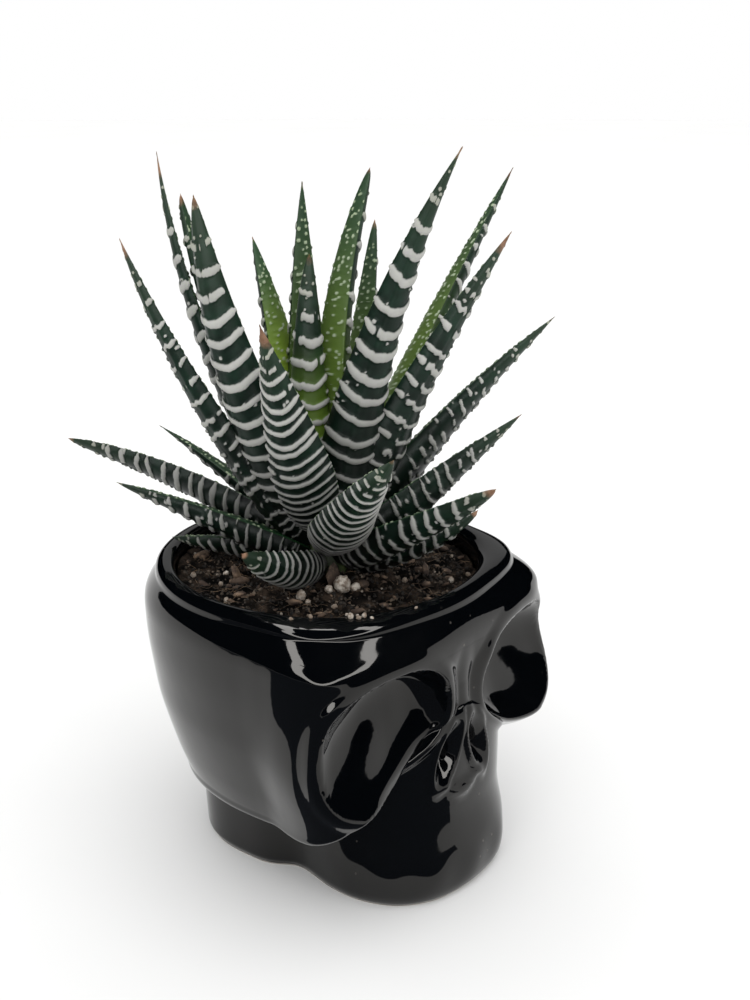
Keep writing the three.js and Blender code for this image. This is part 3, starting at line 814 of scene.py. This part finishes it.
# Bands, share of their spacing that they fill, how far they hold together, dry share of the tip,
# yellow-green glow, and the half of the face on which bands give way to dots (1, -1 or 0 for neither)
LEAF_LOOKS = {
    "heart_front": (13, 0.42, 0.7, 0.03, 0.8, 0), "heart_back": (14, 0.4, 0.4, 0.02, 0.22, 0),
    "heart_right": (14, 0.4, 0.4, 0.03, 0.35, 0), "heart_left": (13, 0.4, 0.4, 0.02, 1.0, 0),
    "back_slender": (12, 0.45, 0.6, 0.02, 0.3, 0), "left_tall": (17, 0.4, 1.0, 0.035, 0.0, 0),
    "left_hidden": (15, 0.42, 0.5, 0.03, 0.1, 0), "left_outer": (17, 0.42, 0.6, 0.06, 0.0, 0),
    "right_tall": (16, 0.4, 1.0, 0.025, 0.0, 0), "right_long": (19, 0.4, 0.5, 0.05, 0.3, 0),
    "right_broad": (17, 0.38, 0.35, 0.06, 0.0, 0), "left_hooked": (18, 0.34, 0.5, 0.055, 0.0, 1),
    "front_broad": (20, 0.5, 1.0, 0.09, 0.0, 0), "right_leaning": (20, 0.36, 0.1, 0.02, 0.0, 0),
    "back_low": (12, 0.4, 0.3, 0.02, 0.0, 0), "front_short": (18, 0.42, 1.0, 0.02, 0.0, 0),
    "right_low": (16, 0.32, 0.5, 0.03, 0.0, -1), "left_long": (18, 0.44, 0.6, 0.02, 0.0, 1),
    "front_right": (13, 0.44, 0.7, 0.045, 0.0, -1), "left_low": (14, 0.42, 0.5, 0.02, 0.0, 0),
    "soil_front": (13, 0.4, 1.0, 0.03, 0.0, 0), "soil_left": (12, 0.44, 0.8, 0.02, 0.0, 0),
    "soil_right": (11, 0.4, 0.6, 0.04, 0.0, 0),
}
PLAIN_LOOK = (12, 0.4, 0.6, 0.03, 0.1, 0)


class Leaf:
    """One leaf: its middle line, width and relief, all in millimetres."""

    def __init__(self, row, index):
        (self.name, self.around, self.rise, self.bend, self.swing, self.length, self.width, self.taper,
         self.roll, self.start) = row
        self.foot, self.belly = BELLIES.get(self.name, (LEAF_FOOT, LEAF_BELLY))
        bands, self.cover, self.hold, self.dry, self.glow, self.dotted = LEAF_LOOKS.get(self.name, PLAIN_LOOK)
        self.seed = index * 17.3 + 4.1
        self.beads = self.width * BEAD_SHARE
        self.bow = self.width * BOW_SHARE
        draw = random.Random(index + 5)
        # Middle, skew and half width of each band, and the place of the keel across the face
        self.centres = []
        for band in range(bands):
            place = (band + 0.5) / bands
            share = BANDS_FROM + BANDS_SPAN * place ** BANDS_POWER
            pitch = BANDS_SPAN * BANDS_POWER / bands * place ** (BANDS_POWER - 1) * self.length
            half = min(BAND_HALF, pitch * self.cover / 2 * draw.uniform(0.85, 1.15))
            skew = draw.uniform(-0.5, 0.5) * mix(1.6, 1, self.hold)
            self.centres.append((share * self.length + pitch * draw.uniform(-0.1, 0.1), skew, half))
        self.keel = draw.choice((-1, 1)) * draw.uniform(0.3, 0.5)

    def direction(self, share):
        """Unit vector along the middle line."""
        around = math.radians(self.around + self.swing * share)
        rise = math.radians(self.rise + self.bend * share)
        return Vector((math.cos(around) * math.cos(rise), math.sin(around) * math.cos(rise), math.sin(rise)))

    def spine(self, shares):
        """Place, tangent, side and inner direction at each share of the length."""
        stem = STEM_R - max(0, self.start - STEM_SHOULDER) * STEM_TAPER - LEAF_CLASP
        foot = math.radians(self.around)
        place = Vector((math.cos(foot) * stem, math.sin(foot) * stem, self.start))
        frames, last = [], 0.0
        for share in shares:
            stretch = (share - last) / 2
            for k in range(2):
                place = place + self.direction(last + stretch * (k + 0.5)) * (stretch * self.length)
            last = share
            tangent = self.direction(share)
            around = math.radians(self.around + self.swing * share)
            side = Vector((-math.sin(around), math.cos(around), 0))
            inner = tangent.cross(side)
            roll = Matrix.Rotation(math.radians(self.roll), 3, tangent)
            frames.append((place.copy(), tangent, roll @ side, roll @ inner))
        return frames

    def half_width(self, share):
        """Half the leaf's width, which swells from the foot and tapers to the tip."""
        base = mix(self.foot, 1, math.sin(math.pi / 2 * min(1, share / self.belly)))
        tip = (1 - share) ** self.taper
        return max(0.35, self.width * base * tip) / 2

    def outer_relief(self, across, mm, share):
        """Height 0..1 of the white bands on the outer face; across runs from -1 to 1 over the face.

        A band is a chain of merged beads that dips at the keel and breaks into dashes near the tip.
        """
        best = 0.0
        fade = ramp(share, 0.68, 0.93)
        narrow = mix(1.0, 0.45, ramp(share, 0.55, 0.95))
        loose = 1 - self.hold
        notch = mix(0.1, 0.26, max(loose, fade))
        for band, (centre, skew, thick) in enumerate(self.centres):
            if abs(mm - centre) > BAND_REACH:
                continue
            wave = 0.4 * noise.noise(Vector((across * 2.1, centre * 0.37, self.seed)))
            wobble = noise.noise(Vector((across * self.beads * 1.1, band * 3.1, self.seed + 7)))
            wave += (0.14 + 0.4 * loose) * wobble
            bow = (self.bow * (across * across - 0.35) + skew * across) * narrow
            keel = (0.4 + 0.6 * loose) * ramp(abs(across - self.keel), 0.2, 0.0) * narrow
            bead = abs((across * self.beads + band * 0.37 + wave) % 1 - 0.5) * 2
            swell = 1 + 0.22 * noise.noise(Vector((across * 1.7, band * 5.3, self.seed + 3)))
            half = thick * mix(1, 0.75, fade) * swell * (1.04 - notch * bead ** 3)
            gap = noise.noise(Vector((across * self.beads * 0.9 + 9, centre * 1.3, self.seed + 11)))
            hold = mix(0.75 * self.hold, 0.0, fade)
            hold -= 0.9 * ramp(across * self.dotted, 0.0, 0.35)
            whole = ramp(hold - gap, -0.02, 0.1)
            edge = 1 - ramp(abs(across), 0.95, 1.0) * 0.5
            reach = half * math.sqrt(max(0.02, whole)) * edge
            distance = abs(mm - centre - bow - wave - keel) / reach
            if distance < 1:
                best = max(best, (1 - distance ** 2.2) ** 0.75 * whole)
        return best

    def dot_relief(self, across_mm, mm, chance, cell, size):
        """Height 0..1 of small white dots: one in some of the cells that a face is divided into."""
        best = 0.0
        column, row = math.floor(across_mm / cell), math.floor(mm / cell)
        for i in (column - 1, column, column + 1):
            for k in (row - 1, row, row + 1):
                spot = noise.cell_vector(Vector((i * 1.37 + 0.5, k * 1.61 + 0.5, self.seed)))
                if spot.z > chance:
                    continue
                x = (i + 0.5 + (spot.x - 0.5) * 0.8) * cell
                y = (k + 0.5 + (spot.y - 0.5) * 0.8) * cell
                distance = math.hypot((across_mm - x) * 1.1, mm - y) / (size * (0.7 + 0.5 * spot.z / chance))
                if distance < 1:
                    best = max(best, math.sqrt(1 - distance * distance))
        return best

    def outer_face(self, angle, share, band_height):
        """Steps to the side and inwards from the middle line to the outer face, and its marking."""
        half, mm = self.half_width(share), share * self.length
        across = -math.cos(angle)
        relief = self.outer_relief(across, mm, share) if share < BANDS_END else 0
        if relief < 0.05 and share > 0.05:
            chance = max(0.12 if abs(across) > 0.5 else 0.03, 0.4 * ramp(share, 0.8, 0.92))
            if across * self.dotted > 0.15:
                chance = 0.55
            relief = 0.85 * self.dot_relief(across * half * 1.3, mm, chance, *OUTER_DOTS)
        deep = half * 2 * LEAF_DEPTH
        keel = 1 + 0.05 * ramp(abs(across - self.keel), 0.22, 0.0)
        reach = Vector((-across * half, -math.sin(angle) ** 0.92 * deep * keel, 0))
        out = Vector((-across / half, -math.sin(angle) / deep, 0)).normalized()
        out *= relief * min(band_height, half * 0.2)
        return reach.x + out.x, reach.y + out.y, relief

    def inner_face(self, angle, share):
        """The same for the inner face, which has dots alone."""
        half, mm = self.half_width(share), share * self.length
        across = math.cos(angle)
        relief = self.dot_relief(across * half, mm, 0.82, *INNER_DOTS) if share > 0.04 else 0
        relief *= ramp(0.99 - share, 0, 0.1)
        crown = half * 2 * LEAF_CROWN * (1 - abs(across) ** 2.2)
        return -across * half, crown + relief * min(0.28, half * 0.14), relief * 0.9


def leaf_mesh(leaf, settings):
    """A closed leaf with raised bands outside, dots inside and layers that carry its markings."""
    rings = max(24, round(leaf.length / settings.ring_step))
    columns = round(settings.columns * mix(0.8, 1.5, ramp(leaf.width, 8, 26)))
    bm = bmesh.new()
    bmesh.ops.create_cone(bm, cap_ends=True, cap_tris=True, segments=columns, radius1=1, radius2=1, depth=1)
    sides = [edge for edge in bm.edges if abs(edge.verts[0].co.z - edge.verts[1].co.z) > 0.5]
    bmesh.ops.subdivide_edges(bm, edges=sides, cuts=rings - 1, use_grid_fill=True)
    layers = [bm.verts.layers.float.new(name) for name in MARKINGS]
    shares = [1 - (1 - k / rings) ** 1.08 for k in range(rings + 1)]
    frames = leaf.spine(shares)
    for vert in bm.verts:
        row = round((vert.co.z + 0.5) * rings)
        share = shares[row]
        place, tangent, side, inner = frames[row]
        mark, face = 0.0, 0.0
        if math.hypot(vert.co.x, vert.co.y) < 0.5:
            spot = place + (tangent * 0.5 if row else inner * (-leaf.half_width(share) * 0.24))
        else:
            turn = (math.atan2(vert.co.y, vert.co.x) / (2 * math.pi) + 0.5) % 1
            if turn < OUTER_SHARE:
                angle = turn / OUTER_SHARE * math.pi
                aside, inward, mark = leaf.outer_face(angle, share, settings.band_height)
            else:
                face = 1.0
                angle = (turn - OUTER_SHARE) / (1 - OUTER_SHARE) * math.pi
                aside, inward, mark = leaf.inner_face(angle, share)
            spot = place + side * aside + inner * inward
        for layer, value in zip(layers, (mark, share, face, leaf.dry, leaf.glow)):
            vert[layer] = value
        vert.co = spot * MM
    bmesh.ops.recalc_face_normals(bm, faces=bm.faces)
    return bm


# Colours of the outer face towards its tip, and of its foot where light shines through
UPPER_GREEN = (0.045, 0.075, 0.045)
WARM_GLOW = (0.15, 0.25, 0.03)
# Colours of the inner face at its foot and its tip, where light shines through it and where it doesn't
LIT_INSIDE = ((0.26, 0.39, 0.04), (0.038, 0.085, 0.04))
DIM_INSIDE = ((0.012, 0.045, 0.016), (0.026, 0.058, 0.028))
# Colours of the bands near the tip, of the inner dots and of the dry tip's two tones
UPPER_BAND = (0.30, 0.31, 0.24)
INNER_DOT_COLOUR = (0.36, 0.46, 0.27)
DRY_TIP = ((0.10, 0.045, 0.02), (0.28, 0.16, 0.10))


def leaf_material(settings):
    """Dark green skin with pale raised bands, a lighter inner face and a dry tip, with painted shade towards
    the soil and the feet of the leaves.
    """
    paint = Paint("zebra_leaf")
    where = paint.where()
    mark, share, inner, dry, glow = [paint.attribute(name) for name in MARKINGS]
    mottle = paint.noise(where, 180.0, 4.0, 0.6)
    # Painted shade: the leaves darken towards the soil and towards their feet.
    low = paint.spread(paint.height(where), 0.074, 0.125, 0.5, 1.0)
    deep = paint.spread(share, 0.0, 0.65, 0.25, 1.0)
    skin = paint.shades(paint.spread(mottle, 0.35, 0.7), settings.green, 0.7, 1.5)
    skin = paint.mix(paint.times(paint.spread(share, 0.6, 1.0), 0.5), skin, UPPER_GREEN)
    # Painted shade darkens the skin near the soil and at the feet.
    skin = paint.darken(skin, paint.times(deep, low))
    skin = paint.mix(paint.times(glow, paint.spread(share, 0.3, 0.75, 1, 0)), skin, WARM_GLOW)
    lit = paint.mix(paint.spread(share, 0.42, 0.95), *LIT_INSIDE)
    dim = paint.mix(paint.spread(share, 0.0, 0.75), *DIM_INSIDE)
    skin = paint.mix(inner, skin, paint.mix(glow, dim, lit))

    # Painted shade on the bands: they darken towards the feet and the soil.
    painted_shade_on_bands = paint.times(paint.spread(share, 0.05, 0.6, 0.5, 1.0), low)
    band = paint.shades(paint.spread(mottle, 0.3, 0.7), settings.band, 0.9, 1.06)
    band = paint.mix(paint.spread(share, 0.75, 1.0), band, UPPER_BAND)
    band = paint.mix(paint.times(inner, 0.75), paint.darken(band, painted_shade_on_bands), INNER_DOT_COLOUR)
    base = paint.mix(paint.spread(mark, 0.16, 0.72), skin, band)

    # The dry tip begins where the share of the length, with a ragged edge, passes 1 less the dry share.
    ragged = paint.times(paint.sums("SUBTRACT", mottle, 0.5), 0.06)
    burnt = paint.sums("SUBTRACT", paint.sums("ADD", share, ragged), 1.0)
    past = paint.times(paint.sums("ADD", burnt, dry), 40.0, True)
    base = paint.mix(past, base, paint.mix(paint.spread(mottle, 0.35, 0.65), *DRY_TIP))
    paint.bump(paint.noise(where, 1500.0, 3.0), 0.12, 0.0002)
    return paint.surface(Base_Color=base, Roughness=paint.spread(mark, 0.1, 0.6, 0.38, 0.62),
                         Specular_IOR_Level=0.2, Subsurface_Weight=0.06, Subsurface_Radius=(0.6, 1.0, 0.3),
                         Subsurface_Scale=0.0015)


class HAWORTHIA_OT_zebra_leaves(Operator):
    """Build every leaf of the rosette with its raised white bands"""
    bl_idname = "haworthia.zebra_leaves"
    bl_label = "Zebra Leaves"

    def execute(self, context):
        settings = context.scene.leaves
        skin = leaf_material(settings)
        for index, row in enumerate(LEAVES):
            leaf = Leaf(row, index)
            finished(leaf_mesh(leaf, settings), "zebra_" + leaf.name, skin, "leaf", "leaf_" + leaf.name)
        return {"FINISHED"}


# Studio stage

# Radius of the floor and place of the camera in metres, and the direction in which the camera looks
FLOOR_RADIUS = 6.0
CAMERA_PLACE = (-0.20414, -0.19036, 0.18795)
CAMERA_VIEW = Vector((0.717692, 0.614548, -0.327487))
# The large soft light from above: its direction and how many degrees of the sky it fills
KEY_DIRECTION = Vector((0.25, 0.35, -0.9))
KEY_SPREAD = 70
# The lamp behind the plant: place, aim and size in millimetres, and power in watts
BACK_LAMP = Vector((500, 400, 330))
BACK_LAMP_TARGET = Vector((0, 0, 75))
BACK_LAMP_SIZE = (600, 200)
BACK_LAMP_POWER = 0.15

# The dark card round the near side, painted shade that only the glaze mirrors: degrees from the face and its
# near and far edge there.
CARD_EDGES = [(-128, 2400, 3000), (-122, 900, 3000), (-116, 300, 3000), (-110, 120, 3000), (-94, 58, 3000),
              (-70, 46, 3000), (-45, 52, 1000), (-20, 58, 200), (-4, 64, 104), (10, 74, 84)]
CARD_COLUMNS = 140
CARD_LIFT = 0.5

# The bright ribbon that the temple mirrors as a frame: degrees from the face and above the horizon,
# its distance from the temple and half its width as a share of that distance.
RIBBON = [(-112, 50), (-108, 38), (-98, 22), (-80, 8), (-62, 4), (-48, 10), (-35, 18), (-22, 25), (-9, 29),
          (4, 33), (14, 39), (23, 46), (32, 58), (70, 70), (132, 66), (175, 63), (210, 62),
          (235, 57), (248, 50)]
RIBBON_COLUMNS = 240
RIBBON_DISTANCE = 500
RIBBON_HALF_WIDTH = 0.075
TEMPLE = Vector((-37, -30, 75))


def aim(thing, direction):
    """Turns a lamp or the camera to look along a direction."""
    thing.rotation_mode = "QUATERNION"
    thing.rotation_quaternion = direction.to_track_quat("-Z", "Y")


def add_back_lamp():
    """A wide lamp behind the plant, seen only by the surfaces that it lights."""
    data = bpy.data.lights.new("back_glow", "AREA")
    data.shape = "RECTANGLE"
    data.size, data.size_y = BACK_LAMP_SIZE[0] * MM, BACK_LAMP_SIZE[1] * MM
    data.energy = BACK_LAMP_POWER
    lamp = add_object("back_glow", data)
    lamp.location = BACK_LAMP * MM
    aim(lamp, BACK_LAMP_TARGET - BACK_LAMP)
    lamp.visible_camera = False


def add_key_lamp(settings):
    """Large soft light from above, which the glaze doesn't mirror."""
    data = bpy.data.lights.new("soft_key", "SUN")
    data.energy = settings.key_power
    data.angle = math.radians(KEY_SPREAD)
    lamp = add_object("soft_key", data)
    aim(lamp, KEY_DIRECTION)
    lamp.visible_glossy = False


def add_camera(settings):
    """The camera at the photograph's viewing angle."""
    data = bpy.data.cameras.new("photo_camera")
    data.lens = settings.lens
    data.sensor_width = 36
    data.clip_start, data.clip_end = 0.01, 30
    camera = add_object("photo_camera", data)
    camera.location = CAMERA_PLACE
    aim(camera, CAMERA_VIEW)
    return camera


def pale_air(settings):
    """Even pale light from all sides, which the glaze doesn't mirror."""
    # The dark card is painted shade that only the glaze mirrors.
    world = bpy.data.worlds.new("studio_air")
    world.use_nodes = True
    background = world.node_tree.nodes["Background"]
    background.inputs["Color"].default_value = (1, 1, 1, 1)
    background.inputs["Strength"].default_value = settings.air
    world.cycles_visibility.glossy = False
    return world


def paper_material(settings):
    """Smooth pale studio paper."""
    paint = Paint("studio_paper")
    tone = paint.spread(paint.noise(paint.where(), 3.0, 2.0), 0.3, 0.7)
    return paint.surface(Base_Color=paint.shades(tone, settings.floor, 0.985, 1), Roughness=0.8)


def mirrored_shade_card_material(settings):
    """Matt black card that keeps the near side of the glaze dark: painted shade that only the glaze mirrors.
    """
    return Paint("mirrored_shade_card").surface(Base_Color=rgba(settings.card), Roughness=1.0, Specular_IOR_Level=0.0)


def cloth_material(settings):
    """Bright cloth that only the glaze mirrors."""
    return Paint("bright_cloth").surface(Base_Color=(0, 0, 0, 1), Emission_Color=(1, 1, 1, 1),
                                         Emission_Strength=settings.glints)


def mirrored_shade_card_mesh():
    """The dark card, painted shade for the glaze to mirror, as a curved strip just above the floor."""
    bm = bmesh.new()
    bmesh.ops.create_grid(bm, x_segments=CARD_COLUMNS, y_segments=1, size=1.0)
    edges = [[(station[0], math.log(station[side])) for station in CARD_EDGES] for side in (1, 2)]
    for vert in bm.verts:
        degrees = mix(CARD_EDGES[0][0], CARD_EDGES[-1][0], (vert.co.x + 1) / 2)
        reach = math.exp(along(edges[vert.co.y > 0], degrees))
        turn = math.radians(degrees)
        vert.co = Vector((reach * math.sin(turn), -reach * math.cos(turn), CARD_LIFT)) * MM
    return bm


def ribbon_direction(place):
    """Unit vector from the temple to a place along the ribbon, counted in stations."""
    place = min(len(RIBBON) - 1.0, max(0.0, place))
    turn, rise = [math.radians(along(list(enumerate(angles)), place)) for angles in zip(*RIBBON)]
    return Vector((math.sin(turn) * math.cos(rise), -math.cos(turn) * math.cos(rise), math.sin(rise)))


def ribbon_mesh():
    """The bright ribbon as a narrow strip far round the temple."""
    bm = bmesh.new()
    bmesh.ops.create_grid(bm, x_segments=RIBBON_COLUMNS, y_segments=1, size=1.0)
    for vert in bm.verts:
        place = (vert.co.x + 1) / 2 * (len(RIBBON) - 1)
        toward = ribbon_direction(place)
        side = toward.cross(ribbon_direction(place + 0.02) - ribbon_direction(place - 0.02)).normalized()
        vert.co = (TEMPLE + (toward + side * vert.co.y * RIBBON_HALF_WIDTH) * RIBBON_DISTANCE) * MM
    return bm


def stage_piece(bm, name, material, only_mirrored=False):
    """A flat piece of the stage, facing up; one that is only mirrored shows in the glaze alone."""
    mesh = bpy.data.meshes.new(name)
    bmesh.ops.recalc_face_normals(bm, faces=bm.faces)
    bm.to_mesh(mesh)
    bm.free()
    piece = add_object(name, mesh)
    piece.data.materials.append(material)
    if only_mirrored:
        piece.visible_camera = piece.visible_diffuse = piece.visible_shadow = False


class HAWORTHIA_OT_studio_stage(Operator):
    """Set the pale floor, the soft lights and the camera"""
    bl_idname = "haworthia.studio_stage"
    bl_label = "Studio Stage"

    def execute(self, context):
        settings = context.scene.stage
        floor = bmesh.new()
        bmesh.ops.create_circle(floor, cap_ends=True, segments=96, radius=FLOOR_RADIUS)
        stage_piece(floor, "studio_floor", paper_material(settings))
        # The dark card: painted shade that only the glaze mirrors, on the near side.
        stage_piece(mirrored_shade_card_mesh(), "mirrored_shade_card", mirrored_shade_card_material(settings), only_mirrored=True)
        add_back_lamp()
        stage_piece(ribbon_mesh(), "window_ribbon", cloth_material(settings), only_mirrored=True)
        context.scene.world = pale_air(settings)
        add_key_lamp(settings)
        context.scene.camera = add_camera(settings)
        context.scene.view_settings.view_transform = "Standard"
        return {"FINISHED"}


# Panel and registration

PANEL_ROWS = [
    ("planter", ["haworthia.skull_planter"]),
    ("soil", ["haworthia.potting_soil", "haworthia.soil_litter"]),
    ("leaves", ["haworthia.plant_stem", "haworthia.zebra_leaves"]),
    ("stage", ["haworthia.studio_stage"]),
]


class VIEW3D_PT_haworthia(Panel):
    """Lists the settings and the pieces of the potted haworthia"""
    bl_label = "Potted Haworthia"
    bl_idname = "VIEW3D_PT_haworthia"
    bl_space_type = "VIEW_3D"
    bl_region_type = "UI"
    bl_category = "Haworthia"

    def draw(self, context):
        for group, operators in PANEL_ROWS:
            box = self.layout.box()
            settings = getattr(context.scene, group)
            for name in settings.bl_rna.properties.keys():
                if name not in ("rna_type", "name"):
                    box.prop(settings, name)
            for operator in operators:
                box.operator(operator)


SETTINGS = {"planter": PlanterSettings, "soil": SoilSettings, "leaves": LeafSettings, "stage": StageSettings}
CLASSES = [*SETTINGS.values(), HAWORTHIA_OT_skull_planter, HAWORTHIA_OT_potting_soil,
           HAWORTHIA_OT_soil_litter, HAWORTHIA_OT_plant_stem, HAWORTHIA_OT_zebra_leaves,
           HAWORTHIA_OT_studio_stage, VIEW3D_PT_haworthia]


def register():
    for cls in CLASSES:
        bpy.utils.register_class(cls)
    for name, cls in SETTINGS.items():
        setattr(bpy.types.Scene, name, PointerProperty(type=cls))


def unregister():
    for name in SETTINGS:
        delattr(bpy.types.Scene, name)
    for cls in reversed(CLASSES):
        bpy.utils.unregister_class(cls)


def main():
    register()
    bpy.ops.haworthia.studio_stage()
    bpy.ops.haworthia.skull_planter()
    bpy.ops.haworthia.potting_soil()
    bpy.ops.haworthia.soil_litter()
    bpy.ops.haworthia.plant_stem()
    bpy.ops.haworthia.zebra_leaves()


if __name__ == "__main__":
    main()
